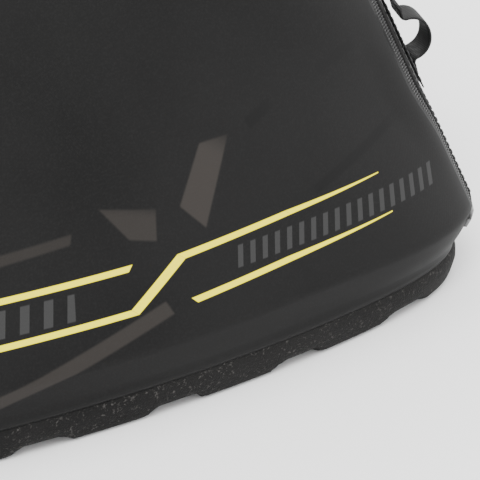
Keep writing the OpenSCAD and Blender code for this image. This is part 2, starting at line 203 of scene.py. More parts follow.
def beside(i, off):
    """A point [plan direction, height] beside the zip line, square to it."""
    a, z = ZIP[i]
    before, after = ZIP[max(0, i - 1)], ZIP[min(len(ZIP) - 1, i + 1)]
    along = (skin(*after) - skin(*before)).normalized()
    by_a = (skin(a + 0.1, z) - skin(a - 0.1, z)) / 0.2
    by_z = (skin(a, z + 0.1 * MM) - skin(a, z - 0.1 * MM)) / (0.2 * MM)
    out = along.cross(by_a.cross(by_z).normalized()).normalized() * off
    aa, az, zz = by_a.dot(by_a), by_a.dot(by_z), by_z.dot(by_z)
    det = aa * zz - az * az
    return (
        a + (out.dot(by_a) * zz - out.dot(by_z) * az) / det,
        z + (out.dot(by_z) * aa - out.dot(by_a) * az) / det,
    )


GAP_A = beside(3, PANEL_GAP)[0] - ZIP[3][0]


def side_a(z):
    """Where the side panel meets the zip."""
    return edge_a(min(z, EDGE_TOP)) + GAP_A


# ---- mesh tools ----


def outward(mesh):
    """Turn every face of closed pieces outward."""
    bm = bmesh.new()
    bm.from_mesh(mesh)
    bmesh.ops.recalc_face_normals(bm, faces=bm.faces)
    bm.to_mesh(mesh)
    bm.free()


def new_object(name, points, faces, smooth=True):
    mesh = bpy.data.meshes.new(name)
    mesh.from_pydata([tuple(p) for p in points], [], faces)
    mesh.validate()
    outward(mesh)
    mesh.polygons.foreach_set("use_smooth", [smooth] * len(mesh.polygons))
    obj = bpy.data.objects.new(name, mesh)
    bpy.context.scene.collection.objects.link(obj)
    return obj


def grid_faces(rows, cols, loop=False, start=0):
    """Quads between rows of points that run anticlockwise as seen from outside."""
    count = cols if loop else cols - 1
    return [
        (
            start + r * cols + c,
            start + r * cols + (c + 1) % cols,
            start + (r + 1) * cols + (c + 1) % cols,
            start + (r + 1) * cols + c,
        )
        for r in range(rows - 1)
        for c in range(count)
    ]


def shell(name, rows, inner, uv=None):
    """A closed fabric panel: outer rows of points, the matching inner rows, and its four edges."""
    r, c = len(rows), len(rows[0])
    points = [p for row in rows for p in row] + [p for row in inner for p in row]
    n = r * c
    faces = grid_faces(r, c) + [tuple(reversed(f)) for f in grid_faces(r, c, start=n)]
    rim = (
        [i for i in range(c)]
        + [i * c + c - 1 for i in range(1, r)]
        + [(r - 1) * c + i for i in range(c - 2, -1, -1)]
        + [i * c for i in range(r - 2, 0, -1)]
    )
    for k, i in enumerate(rim):
        j = rim[(k + 1) % len(rim)]
        faces.append((j, i, i + n, j + n))
    obj = new_object(name, points, faces)
    if uv:
        flat = [uv(i // c, i % c) for i in range(n)]
        layer = obj.data.uv_layers.new(name="print")
        printed = (r - 1) * (c - 1)
        for face in obj.data.polygons:
            for k in face.loop_indices:
                place = flat[obj.data.loops[k].vertex_index % n]
                layer.data[k].uv = place if face.index < printed else (0.0, 0.0)
    return obj


def sweep(name, path, normals, section, closed_path=False):
    """A solid with one cross-section [(across, out), ...] carried along a path."""
    points = []
    count = len(path)
    for i, (p, n) in enumerate(zip(path, normals)):
        before = path[(i - 1) % count] if closed_path else path[max(0, i - 1)]
        after = path[(i + 1) % count] if closed_path else path[min(count - 1, i + 1)]
        along = (after - before).normalized()
        across = along.cross(n).normalized()
        up = across.cross(along)
        points += [p + across * s + up * t for s, t in section]
    m = len(section)
    faces = grid_faces(count, m, loop=True)
    if closed_path:
        last = (count - 1) * m
        faces += [(last + k, last + (k + 1) % m, (k + 1) % m, k) for k in range(m)]
    else:
        faces += [tuple(range(m - 1, -1, -1)), tuple(range((count - 1) * m, count * m))]
    return new_object(name, points, faces)


def oval(width, height, count=12, power=2.0):
    """An oval or rounded rectangle as a cross-section."""
    out = []
    for i in range(count):
        t = 2 * pi * i / count
        c, s = cos(t), sin(t)
        out.append((
            width / 2 * abs(c) ** (2 / power) * (1 if c > 0 else -1),
            height / 2 * abs(s) ** (2 / power) * (1 if s > 0 else -1),
        ))
    return out


def scatter(name, template, places):
    """Copies of a small mesh (points, faces) at a list of 4x4 matrices, as one object."""
    verts, polys = template
    points, faces = [], []
    for m in places:
        base = len(points)
        points += [m @ Vector(v) for v in verts]
        faces += [tuple(base + i for i in f) for f in polys]
    return new_object(name, points, faces)


def capsule(length, width, height, sides=6):
    """A little loaf along X, for a stitch or a tooth: (points, faces)."""
    points, faces = [], []
    for x, k in ((-0.5, 0.45), (-0.32, 1.0), (0.32, 1.0), (0.5, 0.45)):
        for i in range(sides):
            t = 2 * pi * i / sides
            points.append((x * length, cos(t) * width / 2 * k, sin(t) * height / 2 * k))
    faces = grid_faces(4, sides, loop=True)
    faces = [tuple(reversed(f)) for f in faces]
    faces += [tuple(range(sides)), tuple(range(4 * sides - 1, 3 * sides - 1, -1))]
    return points, faces


def placed(at, along, out):
    """A matrix that puts X along a line and Z straight out of a surface."""
    x = along.normalized()
    z = (out - x * out.dot(x)).normalized()
    y = z.cross(x)
    return Matrix((
        (x.x, y.x, z.x, at.x),
        (x.y, y.y, z.y, at.y),
        (x.z, y.z, z.z, at.z),
        (0, 0, 0, 1),
    ))


def resample(path, normals, step):
    """Evenly spaced (point, direction, normal) along a path."""
    out, carry = [], step / 2
    for p, q, n, m in zip(path, path[1:], normals, normals[1:]):
        length = (q - p).length
        while carry < length:
            s = carry / length
            out.append((p.lerp(q, s), (q - p).normalized(), n.lerp(m, s).normalized()))
            carry += step
        carry -= length
    return out


def stitches(name, path, normals, pitch=4.2 * MM, length=3.0 * MM, width=0.75 * MM, lift=0.15 * MM):
    """A row of sewn stitches along a path on a surface."""
    places = [placed(p + n * lift, d, n) for p, d, n in resample(path, normals, pitch)]
    return scatter(name, capsule(length, width, width * 0.8), places)


def bevel(obj, width, segments=2):
    mod = obj.modifiers.new("bevel", "BEVEL")
    mod.width = width
    mod.segments = segments
    mod.limit_method = "ANGLE"
    mod.angle_limit = radians(35)
    return obj


# ---- materials ----


class Nodes:
    """A short way to write a node material."""

    def __init__(self, name):
        self.material = bpy.data.materials.new(name)
        self.material.use_nodes = True
        self.tree = self.material.node_tree
        self.shader = self.tree.nodes["Principled BSDF"]

    def add(self, kind, **values):
        node = self.tree.nodes.new(kind)
        for key, value in values.items():
            setattr(node, key, value)
        return node

    def link(self, a, b):
        self.tree.links.new(a, b)

    def put(self, socket, value):
        """A number, colour or another node's output goes into a socket."""
        if isinstance(value, bpy.types.NodeSocket):
            self.link(value, socket)
        elif value is not None:
            socket.default_value = value

    def math(self, operation, a, b=None, c=None, clamp=False):
        node = self.add("ShaderNodeMath", operation=operation, use_clamp=clamp)
        for socket, value in zip(node.inputs, (a, b, c)):
            self.put(socket, value)
        return node.outputs[0]

    def remap(self, value, a, b, c=0.0, d=1.0, smooth=True):
        node = self.add("ShaderNodeMapRange", interpolation_type="SMOOTHSTEP" if smooth else "LINEAR")
        for key, v in (("Value", value), ("From Min", a), ("From Max", b), ("To Min", c), ("To Max", d)):
            self.put(node.inputs[key], v)
        return node.outputs[0]

    def blend_colour(self, fac, a, b):
        node = self.add("ShaderNodeMix", data_type="RGBA")
        self.put(node.inputs[0], fac)
        self.put(node.inputs[6], a)
        self.put(node.inputs[7], b)
        return node.outputs[2]

    def coords(self, kind="Object"):
        return self.add("ShaderNodeTexCoord").outputs[kind]

    def scaled(self, vector, scale):
        node = self.add("ShaderNodeMapping")
        self.link(vector, node.inputs[0])
        node.inputs["Scale"].default_value = scale
        return node.outputs[0]

    def noise(self, vector, scale, detail=2.0, roughness=0.5):
        node = self.add("ShaderNodeTexNoise")
        self.link(vector, node.inputs["Vector"])
        node.inputs["Scale"].default_value = scale
        node.inputs["Detail"].default_value = detail
        node.inputs["Roughness"].default_value = roughness
        return node.outputs["Fac"]

    def cells(self, vector, scale, feature="F1"):
        node = self.add("ShaderNodeTexVoronoi", feature=feature)
        self.link(vector, node.inputs["Vector"])
        node.inputs["Scale"].default_value = scale
        return node.outputs["Distance"]

    def weave(self, vector, pitch):
        """Crossed threads: 0 between them and 1 on top."""
        parts = self.add("ShaderNodeSeparateXYZ")
        self.link(vector, parts.inputs[0])
        waves = []
        for axis in range(3):
            turn = self.math("MULTIPLY", parts.outputs[axis], 2 * pi / pitch)
            waves.append(self.math("SINE", turn))
        first = self.math("MULTIPLY", waves[0], waves[2])
        second = self.math("MULTIPLY", waves[1], waves[2])
        return self.math("MULTIPLY_ADD", self.math("ADD", first, second), 0.25, 0.5)

    def bump(self, height, distance, strength=1.0):
        node = self.add("ShaderNodeBump")
        self.link(height, node.inputs["Height"])
        node.inputs["Distance"].default_value = distance
        node.inputs["Strength"].default_value = strength
        self.link(node.outputs[0], self.shader.inputs["Normal"])
        return node

    def set(self, name, value):
        self.put(self.shader.inputs[name], value)


def grey(v, warm=0.0):
    return (v * (1 + warm), v, v * (1 - warm), 1)


def tarpaulin(name, dark, light, printed=False):
    """Satin coated fabric: a very fine weave, cloudy sheen and small handling marks."""
    n = Nodes(name)
    at = n.coords()
    cloud = n.noise(at, 9, 3, 0.5)
    fine = n.noise(at, 900, 2, 0.6)
    colour = n.blend_colour(n.remap(cloud, 0.3, 0.7), dark, light)
    colour = n.blend_colour(n.remap(fine, 0.4, 0.8, 0.0, 0.16), colour, grey(0.022, 0.02))
    rough = n.remap(cloud, 0.25, 0.75, 0.42, 0.56)
    if printed:
        colour, rough = printed_front(n, colour, rough)
    n.set("Base Color", colour)
    n.set("Roughness", rough)
    n.set("Specular IOR Level", 0.14)
    marks = n.noise(n.scaled(at, (1.0, 1.0, 2.5)), 60, 4, 0.6)
    height = n.math("MULTIPLY_ADD", n.weave(at, 0.9 * MM), 0.35, marks)
    n.bump(height, 0.25 * MM, 0.35)
    return n.material


# The printed front, in millimetres: x from the middle of the bag, z above the ground.
YELLOW_BARS = [
    # four corners each: both lines left of the step, the step, and both tapering lines right of it
    [(-235, 86.6), (-235, 83.8), (-17, 81.2), (-14, 84)],
    [(-235, 65.6), (-235, 62.8), (-17.5, 61.4), (-21, 64.3)],
    [(-21, 64.3), (-17.5, 61.4), (16.5, 79.5), (12.5, 82.4)],
    [(12.5, 82.4), (16.5, 79.5), (85, 82.8), (82, 85.3)],
    [(82, 85.3), (85, 82.8), (148, 85.3), (148, 85.8)],
    [(14, 61.3), (17, 58.5), (80, 62.0), (77, 64.6)],
    [(77, 64.6), (80, 62.0), (150, 65.6), (150, 66.1)],
]
WARM = (0.030, 0.026, 0.023, 1)
BLACK = (0.0025, 0.0025, 0.0025, 1)
TONAL_BARS = [
    # corners, colour, strength, and the two points between which the bar fades in
    ([(41, 128), (59, 128), (33, 90), (21, 103)], WARM, 0.75, ((62, 134), (50, 118))),
    ([(-24, 112), (7, 105), (3, 91), (-12, 95)], WARM, 0.55, ((-5, 114), (-8, 104))),
    ([(-150, 101), (-150, 95.5), (-44, 100), (-42, 104.5)], WARM, 0.45, ((-160, 96), (-90, 100))),
    ([(-150, 30), (-150, 23), (2, 57), (-1, 63.5)], WARM, 0.6, ((-170, 24), (-110, 34))),
    ([(175, 110), (176, 105), (104, 87), (103, 91.5)], BLACK, 0.8, ((180, 110), (160, 103))),
    ([(157, 149.5), (157, 144.5), (126, 139.5), (125, 144.5)], BLACK, 0.8, ((160, 147), (150, 145))),
    ([(90, 138.5), (91, 133), (73, 126.5), (71, 132)], BLACK, 0.8, ((94, 137), (86, 134))),
    ([(-60, 190), (-52, 190), (-96, 128), (-104, 128)], BLACK, 0.5, ((-50, 195), (-66, 172))),
]
# Rows of plain slanted bars: outline, distance between bars, share of it that is filled, slant
HATCHES = [
    ([(46, 77.5), (43, 67.5), (187, 68), (190, 78)], 8.0, 0.42, 0.32),
    ([(-152, 81), (-155, 68.5), (-52, 66.5), (-49, 78.5)], 13.0, 0.4, 0.32),
]


def printed_front(n, colour, rough):
    """Tone-on-tone bars, a pair of yellow lines with slanted ends, and plain grey dashes."""
    uv = n.add("ShaderNodeUVMap", uv_map="print").outputs[0]
    parts = n.add("ShaderNodeSeparateXYZ")
    n.link(uv, parts.inputs[0])
    x = n.math("MULTIPLY_ADD", parts.outputs[0], 500.0, -250.0)
    z = n.math("MULTIPLY", parts.outputs[1], 400.0)

    def inside(corners, soft=0.35):
        """1 within a convex outline of corners given clockwise or anticlockwise."""
        area = sum(p[0] * q[1] - q[0] * p[1] for p, q in zip(corners, corners[1:] + corners[:1]))
        mask = None
        for p, q in zip(corners, corners[1:] + corners[:1]):
            length = hypot(q[0] - p[0], q[1] - p[1])
            if length < 1e-6:
                continue
            nx, nz = (p[1] - q[1]) / length, (q[0] - p[0]) / length
            if area < 0:
                nx, nz = -nx, -nz
            depth = n.math("MULTIPLY_ADD", x, nx, -(nx * p[0] + nz * p[1]))
            depth = n.math("MULTIPLY_ADD", z, nz, depth)
            side = n.remap(depth, -soft, soft)
            mask = side if mask is None else n.math("MULTIPLY", mask, side)
        return mask

    for corners, tone, amount, fade in TONAL_BARS:
        mask = n.math("MULTIPLY", inside(corners, 0.8), amount)
        (ax, az), (bx, bz) = fade
        length = (bx - ax) ** 2 + (bz - az) ** 2
        run = n.math("MULTIPLY_ADD", x, (bx - ax) / length, -((bx - ax) * ax + (bz - az) * az) / length)
        run = n.math("MULTIPLY_ADD", z, (bz - az) / length, run)
        mask = n.math("MULTIPLY", mask, n.remap(run, 0.0, 1.0))
        colour = n.blend_colour(mask, colour, tone)
    for corners, pitch, filled, slant in HATCHES:
        place = n.math("MULTIPLY_ADD", z, -slant / pitch, n.math("MULTIPLY_ADD", x, 1 / pitch, 100.0))
        bars = n.math("LESS_THAN", n.math("FRACT", place), filled)
        mask = n.math("MULTIPLY", n.math("MULTIPLY", bars, inside(corners)), 0.8)
        colour = n.blend_colour(mask, colour, grey(0.032))
    ink = n.noise(n.coords(), 300, 2)
    for corners in YELLOW_BARS:
        mask = inside(corners, 0.25)
        yellow = n.blend_colour(ink, (0.80, 0.70, 0.0, 1), (0.88, 0.78, 0.002, 1))
        colour = n.blend_colour(mask, colour, yellow)
        rough = n.remap(mask, 0.0, 1.0, rough, 0.6)
    return colour, rough


def base_foam(name):
    """Coarse speckled skin of the moulded tray."""
    n = Nodes(name)
    at = n.coords()
    grains = n.cells(at, 900)
    coarse = n.noise(at, 420, 3, 0.7)
    soft = n.noise(at, 14, 3)
    base = n.blend_colour(n.remap(soft, 0.3, 0.7), grey(0.003, 0.04), grey(0.006, 0.04))
    speck = n.math("MULTIPLY", n.remap(coarse, 0.52, 0.72), n.remap(grains, 0.25, 0.65))
    n.set("Base Color", n.blend_colour(speck, base, grey(0.05, 0.05)))
    n.set("Roughness", n.remap(coarse, 0.3, 0.7, 0.78, 0.95))
    n.set("Specular IOR Level", 0.2)
    n.bump(n.math("MULTIPLY_ADD", coarse, 0.8, grains), 0.5 * MM, 0.7)
    return n.material


def webbing(name, dark=0.003, light=0.010, pitch=1.6 * MM):
    """Woven nylon tape: ribs with a slight shine."""
    n = Nodes(name)
    at = n.coords()
    ribs = n.weave(at, pitch)
    fuzz = n.noise(at, 1200, 2)
    # the colour is darker between the ribs and lighter on their tops: painted shade in the grooves, laid
    # over the real rib pattern
    tone = n.math("MULTIPLY_ADD", fuzz, 0.3, n.math("MULTIPLY", ribs, 0.7))
    n.set("Base Color", n.blend_colour(tone, grey(dark), grey(light)))
    n.set("Roughness", n.remap(ribs, 0.2, 0.8, 0.75, 0.55))
    n.set("Specular IOR Level", 0.25)
    n.bump(ribs, 0.35 * MM, 0.8)
    return n.material


def mesh_cloth(name, dark=0.005, light=0.012):
    """Open spacer mesh for the pads and straps: small round holes in a knit."""
    n = Nodes(name)
    at = n.coords()
    holes = n.cells(n.scaled(at, (1, 1, 0.8)), 420)
    knit = n.noise(at, 1500, 2)
    ridge = n.remap(holes, 0.18, 0.55)
    yarn = n.blend_colour(knit, grey(dark), grey(light))
    # the holes are painted darker than the yarn: painted shade inside the holes of the real knit
    n.set("Base Color", n.blend_colour(ridge, grey(dark * 0.5), yarn))
    n.set("Roughness", n.remap(knit, 0.3, 0.7, 0.75, 0.92))
    n.set("Specular IOR Level", 0.2)
    n.bump(ridge, 0.6 * MM, 0.8)
    return n.material


def lining(name):
    """Plain ripstop lining."""
    n = Nodes(name)
    at = n.coords()
    small = n.weave(at, 0.8 * MM)
    large = n.weave(at, 6 * MM)
    # darker between the threads and lighter on the raised ripstop grid: painted shade and painted
    # highlight that follow the weave's height
    tone = n.math("MULTIPLY_ADD", n.remap(large, 0.86, 1.0), 0.5, n.math("MULTIPLY", small, 0.5))
    n.set("Base Color", n.blend_colour(tone, grey(0.03), grey(0.06)))
    n.set("Roughness", n.remap(small, 0.2, 0.8, 0.8, 0.6))
    n.bump(tone, 0.2 * MM, 0.5)
    return n.material


def moulded(name, tone=0.012, rough=0.42, warm=0.0):
    """Moulded plastic with a fine eroded surface."""
    n = Nodes(name)
    at = n.coords()
    grain = n.noise(at, 1400, 3, 0.6)
    cloud = n.noise(at, 40, 2)
    n.set("Base Color", n.blend_colour(cloud, grey(tone, warm), grey(tone * 1.7, warm)))
    n.set("Roughness", n.remap(grain, 0.3, 0.7, rough, rough + 0.16))
    n.bump(grain, 0.08 * MM, 0.4)
    return n.material


def metal(name, tone=0.22):
    """Dark plated metal with fine scratches and rubbed spots."""
    n = Nodes(name)
    at = n.coords()
    scratches = n.noise(n.scaled(at, (1, 12, 1)), 500, 3, 0.6)
    rubbed = n.noise(at, 90, 2)
    n.set("Base Color", n.blend_colour(n.remap(rubbed, 0.45, 0.7), grey(tone), grey(tone * 1.7)))
    n.set("Metallic", 1.0)
    n.set("Roughness", n.remap(scratches, 0.3, 0.7, 0.26, 0.42))
    n.bump(scratches, 0.04 * MM, 0.3)
    return n.material


def thread(name, tone=0.02):
    """Twisted sewing thread."""
    n = Nodes(name)
    at = n.coords()
    twist = n.noise(at, 2600, 2)
    n.set("Base Color", n.blend_colour(twist, grey(tone), grey(tone * 2.2)))
    n.set("Roughness", n.remap(twist, 0.3, 0.7, 0.5, 0.7))
    n.bump(twist, 0.1 * MM, 0.5)
    return n.material


SHELL = tarpaulin("shell_satin", grey(0.0022, 0.015), grey(0.0042, 0.01))
FRONT = tarpaulin("shell_satin_printed", grey(0.0022, 0.015), grey(0.0042, 0.01), printed=True)
TRAY = base_foam("tray_foam")
WEBBING = webbing("webbing_black")
MESH = mesh_cloth("spacer_mesh")
LINING = lining("lining_ripstop")
TEETH = moulded("zip_teeth", 0.010, 0.34)
TAPE = webbing("zip_tape", 0.010, 0.022, 0.9 * MM)
BUCKLE = moulded("buckle_plastic", 0.010, 0.36)
BOARD = moulded("board_plastic", 0.035, 0.55)
METAL = metal("dark_metal")
THREAD = thread("thread_black")
RUBBER = moulded("grip_rubber", 0.014, 0.6)


def paint(obj, *materials):
    obj.data.materials.clear()
    for m in materials:
        obj.data.materials.append(m)
    return obj


# ---- fabric panels ----

def softness(x, y, z):
    """How far the coated fabric stands proud of or behind its pattern at a point."""
    broad = noise.noise(Vector((x * 9.0, y * 6.0 + 3.1, z * 9.0))) * 2.2
    fold = sin((x * 0.8 + z * 1.15) * 46 + 2.0 * noise.noise(Vector((x * 5, z * 5, 7.7)))) * 0.8
    small = noise.noise(Vector((x * 30.0, y * 30.0, z * 34.0 + 9.0))) * 0.16
    return (broad + fold + small) * MM


def fabric_rows(grid, depth, amount):
    """Outer and inner rows of points for a grid of [plan direction, height] pairs.

    amount(r, c) is how much of the softness shows, which is none at the seams."""
    outer, inner = [], []
    for r, row in enumerate(grid):
        out_row, in_row = [], []
        for c, (a, z) in enumerate(row):
            p, n = skin(a, z), skin_normal(a, z)
            d = softness(*p) * amount(r, c)
            out_row.append(p + n * d)
            in_row.append(p + n * (d - depth))
        outer.append(out_row)
        inner.append(in_row)
    return outer, inner


def fade(i, count, width):
    """0 on both edges of a grid and 1 in its middle."""
    return ease(min(i, count - i) / width)


def front_skin():
    """The whole front in one sheet, from the tray ledge over the fold to the zip."""
    cols = 150
    rows = [(side_a(z) - 0.25, z) for z in spread(LEDGE + 0.3 * MM, ZIP_LOW - 1 * MM, 9)]
    low = beside(0, -PANEL_GAP)
    rows += [(mix(side_a(0), low[0], k), z) for k, z in ((0.6, ZIP_LOW), (1.0, ZIP_LOW + 1.5 * MM))]
    for i in range(1, len(ZIP) // 2 - 13):
        p = beside(i, -PANEL_GAP)
        if p[1] > rows[-1][1] + 1.6 * MM:
            rows.append(p)
    rows.append((front_angle(edge_x(DOOR_TOP) - CORNER_W, DOOR_TOP), DOOR_TOP - PANEL_GAP * 0.88))
    grid = [[(a * (2 * c / cols - 1), z) for c in range(cols + 1)] for a, z in rows]
    last = len(grid) - 1
    outer, inner = fabric_rows(grid, 3 * MM, lambda r, c: fade(c, cols, 9) * fade(r, last, 7))
    for line in (outer, inner):
        for r, row in enumerate(line):
            for c, p in enumerate(row):
                # the coated sheet is folded over a cord at the foot, which makes a soft bead
                z = grid[r][c][1]
                a = grid[r][c][0]
                bead = max(0.0, 1 - abs(z - LEDGE - 2.6 * MM) / (2.6 * MM))
                row[c] = p + skin_normal(a, z) * (sqrt(bead) * 1.1 * MM if bead > 0 else 0)

    def uv(r, c):
        a, z = grid[r][c]
        return (skin(a, z).x / (500 * MM) + 0.5, z / (400 * MM))

    obj = shell("front_skin", outer, inner, uv)
    return paint(obj, FRONT)


front = front_skin()
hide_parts("door_panel", "front_sill")
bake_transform(front)


def side_skin(side):
    """A side of the bag with a soft bulge above the knee."""
    rows, cols = 70, 60
    grid = []
    for r in range(rows + 1):
        z = mix(LEDGE + 0.3 * MM, WALL_TOP, r / rows)
        grid.append([(side * mix(side_a(z), BACK_A, c / cols), z) for c in range(cols + 1)])
    if side < 0:
        grid = [list(reversed(row)) for row in grid]

    def amount(r, c):
        return fade(c, cols, 8) * fade(r, rows, 8)

    outer, inner = fabric_rows(grid, 4 * MM, amount)
    name = "side_skin_right" if side > 0 else "side_skin_left"
    obj = paint(shell(name, outer, inner), SHELL)
    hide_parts("side_panel_right" if side > 0 else "side_panel_left")
    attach(obj, "shell")
    return obj


for side in (1, -1):
    side_skin(side)


def header_skin():
    """The fabric above the door, round its curved top."""
    first = 40
    low = [beside(i, PANEL_GAP) for i in range(first, len(ZIP) - first)]
    limit = side_a(EDGE_TOP) - 0.15
    rows = 30
    grid = []
    for r in range(rows + 1):
        grid.append([
            (max(-limit, min(limit, a)), mix(z, WALL_TOP, r / rows)) for a, z in reversed(low)
        ])
    last = len(low) - 1
    outer, inner = fabric_rows(grid, 4 * MM, lambda r, c: fade(c, last, 8) * fade(r, rows, 8))
    obj = paint(shell("header_skin", outer, inner), SHELL)
    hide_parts("front_header")
    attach(obj, "shell")


header_skin()


def crown():
    """The shoulder and the top in one dished piece."""
    cols = 160
    rings = [("wall", i / 14) for i in range(15)] + [("flat", 1 - i / 16) for i in range(1, 17)]
    points = []
    for depth in (0.0, 4 * MM):
        for kind, k in rings:
            for c in range(cols):
                a = 360 * c / cols
                if kind == "wall":
                    t = k * pi / 2 * 0.985
                    z = WALL_TOP + 0.2 * MM + (SHOULDER_R - 0.3 * MM) * sin(t)
                    p = skin(a, z, depth)
                    p.z -= depth * sin(t)
                    n = skin_normal(a, z)
                    p += n * softness(*p) * 0.8 * ease(k * 3)
                else:
                    rim = skin(a, TOP - 0.1 * MM, depth)
                    mid = (near_y(TOP) + far_y(TOP)) / 2
                    p = Vector((rim.x * k, mix(mid, rim.y, k), TOP - depth + CROWN_RISE * (1 - k * k)))
                    p.z += softness(*p) * 0.5
                points.append(p)
    n = len(rings)
    faces = grid_faces(n, cols, loop=True)
    faces += [tuple(reversed(f)) for f in grid_faces(n, cols, loop=True, start=n * cols)]
    for c in range(cols):
        d = (c + 1) % cols
        faces.append((d, c, n * cols + c, n * cols + d))
    obj = paint(new_object("crown_skin", points, faces), SHELL)
    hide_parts("top_panel")
    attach(obj, "shell")


crown()


def back_skin():
    rows, cols = 50, 60
    grid = [
        [(mix(BACK_A + 0.2, 360 - BACK_A - 0.2, c / cols), mix(LEDGE + 0.3 * MM, WALL_TOP, r / rows))
         for c in range(cols + 1)]
        for r in range(rows + 1)
    ]
    outer, inner = fabric_rows(grid, 6 * MM, lambda r, c: 0.5 * fade(c, cols, 8) * fade(r, rows, 8))
    obj = paint(shell("back_skin", outer, inner), SHELL)
    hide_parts("back_panel")
    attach(obj, "shell")


back_skin()

# ---- tray ----


def lobe(t, pitch, count, gap):
    """1 on a foot lobe and 0 in the raised gap between two lobes, for a place along a row."""
    nearest = max(-count, min(count, round(t / pitch)))
    return ease((abs(t - nearest * pitch) - gap / 2 + 4 * MM) / (8 * MM))


def tray():
    """The moulded tray: bowed walls, rounded foot lobes and a ribbed underside."""
    cols = 480
    wall = [(-2.0, 25), (0.6, 22), (1.5, 18), (1.6, 14), (0.9, 10), (0.0, 6)]
    rings = 26

    def ring_point(a, d, z):
        u, v = plan(a)
        half = TRAY_HALF_D - d
        reach = half - FRONT_BOW * u * u if v < 0 else half
        return Vector(((TRAY_HALF_W - d) * u, MID_Y + reach * v, z))

    def foot(p):
        """Height of the underside at a point."""
        k = lobe(p.x, LOBE_PITCH, 2, GAP_LEN) * lobe(p.y - MID_Y, LOBE_PITCH, 1, GAP_LEN)
        return GAP_H * (1 - k)

    points = []
    angles = [360 * c / cols for c in range(cols)]
    for d, z in wall:
        for a in angles:
            p = ring_point(a, -d * MM, z * MM)
            low = foot(ring_point(a, 6 * MM, 0))
            p.z = max(p.z, low + (z - 5) * 0.25 * MM)
            points.append(p)
    for k in range(4):
        t = pi / 2 * (k + 1) / 4
        for a in angles:
            d = 6 * MM * (1 - cos(t)) + 0.2 * MM
            low = foot(ring_point(a, 6 * MM, 0))
            points.append(ring_point(a, d, mix(max(6 * MM, low + 1 * MM), low, sin(t))))
    for k in range(1, rings):
        for a in angles:
            p = ring_point(a, 6.2 * MM, 0)
            q = Vector((0, MID_Y, 0))
            p = p.lerp(q, (k / rings) ** 0.9)
            p.z = foot(p)
            points.append(p)
    middle = len(points)
    points.append(Vector((0, MID_Y, GAP_H)))
    total = len(wall) + 4 + rings - 1
    faces = [tuple(reversed(f)) for f in grid_faces(total, cols, loop=True)]
    base = (total - 1) * cols
    faces += [(base + (c + 1) % cols, base + c, middle) for c in range(cols)]
    # the upper rim and the floor inside
    inner_start = len(points)
    inside = [(8, 25), (8.2, 36), (11, 36), (11, 12.2)]
    for d, z in inside:
        points += [ring_point(a, d * MM, z * MM) for a in angles]
    centre = len(points)
    points.append(Vector((0, MID_Y, 12.2 * MM)))
    faces += [(c, (c + 1) % cols, inner_start + (c + 1) % cols, inner_start + c) for c in range(cols)]
    faces += grid_faces(len(inside), cols, loop=True, start=inner_start)
    base = inner_start + (len(inside) - 1) * cols
    faces += [(base + c, base + (c + 1) % cols, centre) for c in range(cols)]
    obj = paint(new_object("tray_moulding", points, faces), TRAY)
    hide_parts("base_tray")
    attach(obj, "shell")


tray()

# ---- zip ----


def zip_side(off, depth=0.0):
    """Points and normals along the zip, off to one side of its middle."""
    pairs = [beside(i, off) if off else ZIP[i] for i in range(len(ZIP))]
    normals = [skin_normal(a, z) for a, z in pairs]
    return [skin(a, z) - n * depth for (a, z), n in zip(pairs, normals)], normals


def zip_half(name, sign, body, chain_node, tape_node):
    """One half of the chain: a cord with teeth across it, and the tape behind it."""
    line, normals = zip_side(sign * 1.9 * MM, 1.6 * MM)
    core = sweep(name + "_core", line, normals, oval(3.0 * MM, 2.2 * MM, 10, 3))
    places = []
    for p, d, n in resample(line, normals, TOOTH_PITCH):
        across = d.cross(n)
        places.append(placed(p + n * 0.5 * MM, across, n))
    teeth = scatter(name + "_teeth", capsule(3.6 * MM, 1.15 * MM, 1.9 * MM), places)
    paint(core, TAPE)
    paint(teeth, TEETH)
    tape_line, tape_normals = zip_side(sign * 6.6 * MM, TAPE_DEPTH)
    tape = sweep(name + "_tape", tape_line, tape_normals, oval(11.5 * MM, 0.7 * MM, 8, 4))
    paint(tape, TAPE)
    for piece in (core, teeth, tape):
        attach(piece, body)
    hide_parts(chain_node)
    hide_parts(tape_node)


zip_half("zip_frame", 1, "shell", "zip_chain_frame", "zip_tape_frame")
zip_half("zip_door", -1, "door", "zip_chain_door", "zip_tape_door")

# ---- soft parts filled with air ----


def settled(obj):
    """Replace an object's mesh by its evaluated one."""
    deps = bpy.context.evaluated_depsgraph_get()
    mesh = bpy.data.meshes.new_from_object(obj.evaluated_get(deps))
    obj.modifiers.clear()
    obj.data = mesh
    mesh.polygons.foreach_set("use_smooth", [True] * len(mesh.polygons))
    return obj


def remeshed(obj, voxel):
    mod = obj.modifiers.new("remesh", "REMESH")
    mod.mode = "VOXEL"
    mod.voxel_size = voxel
    return settled(obj)


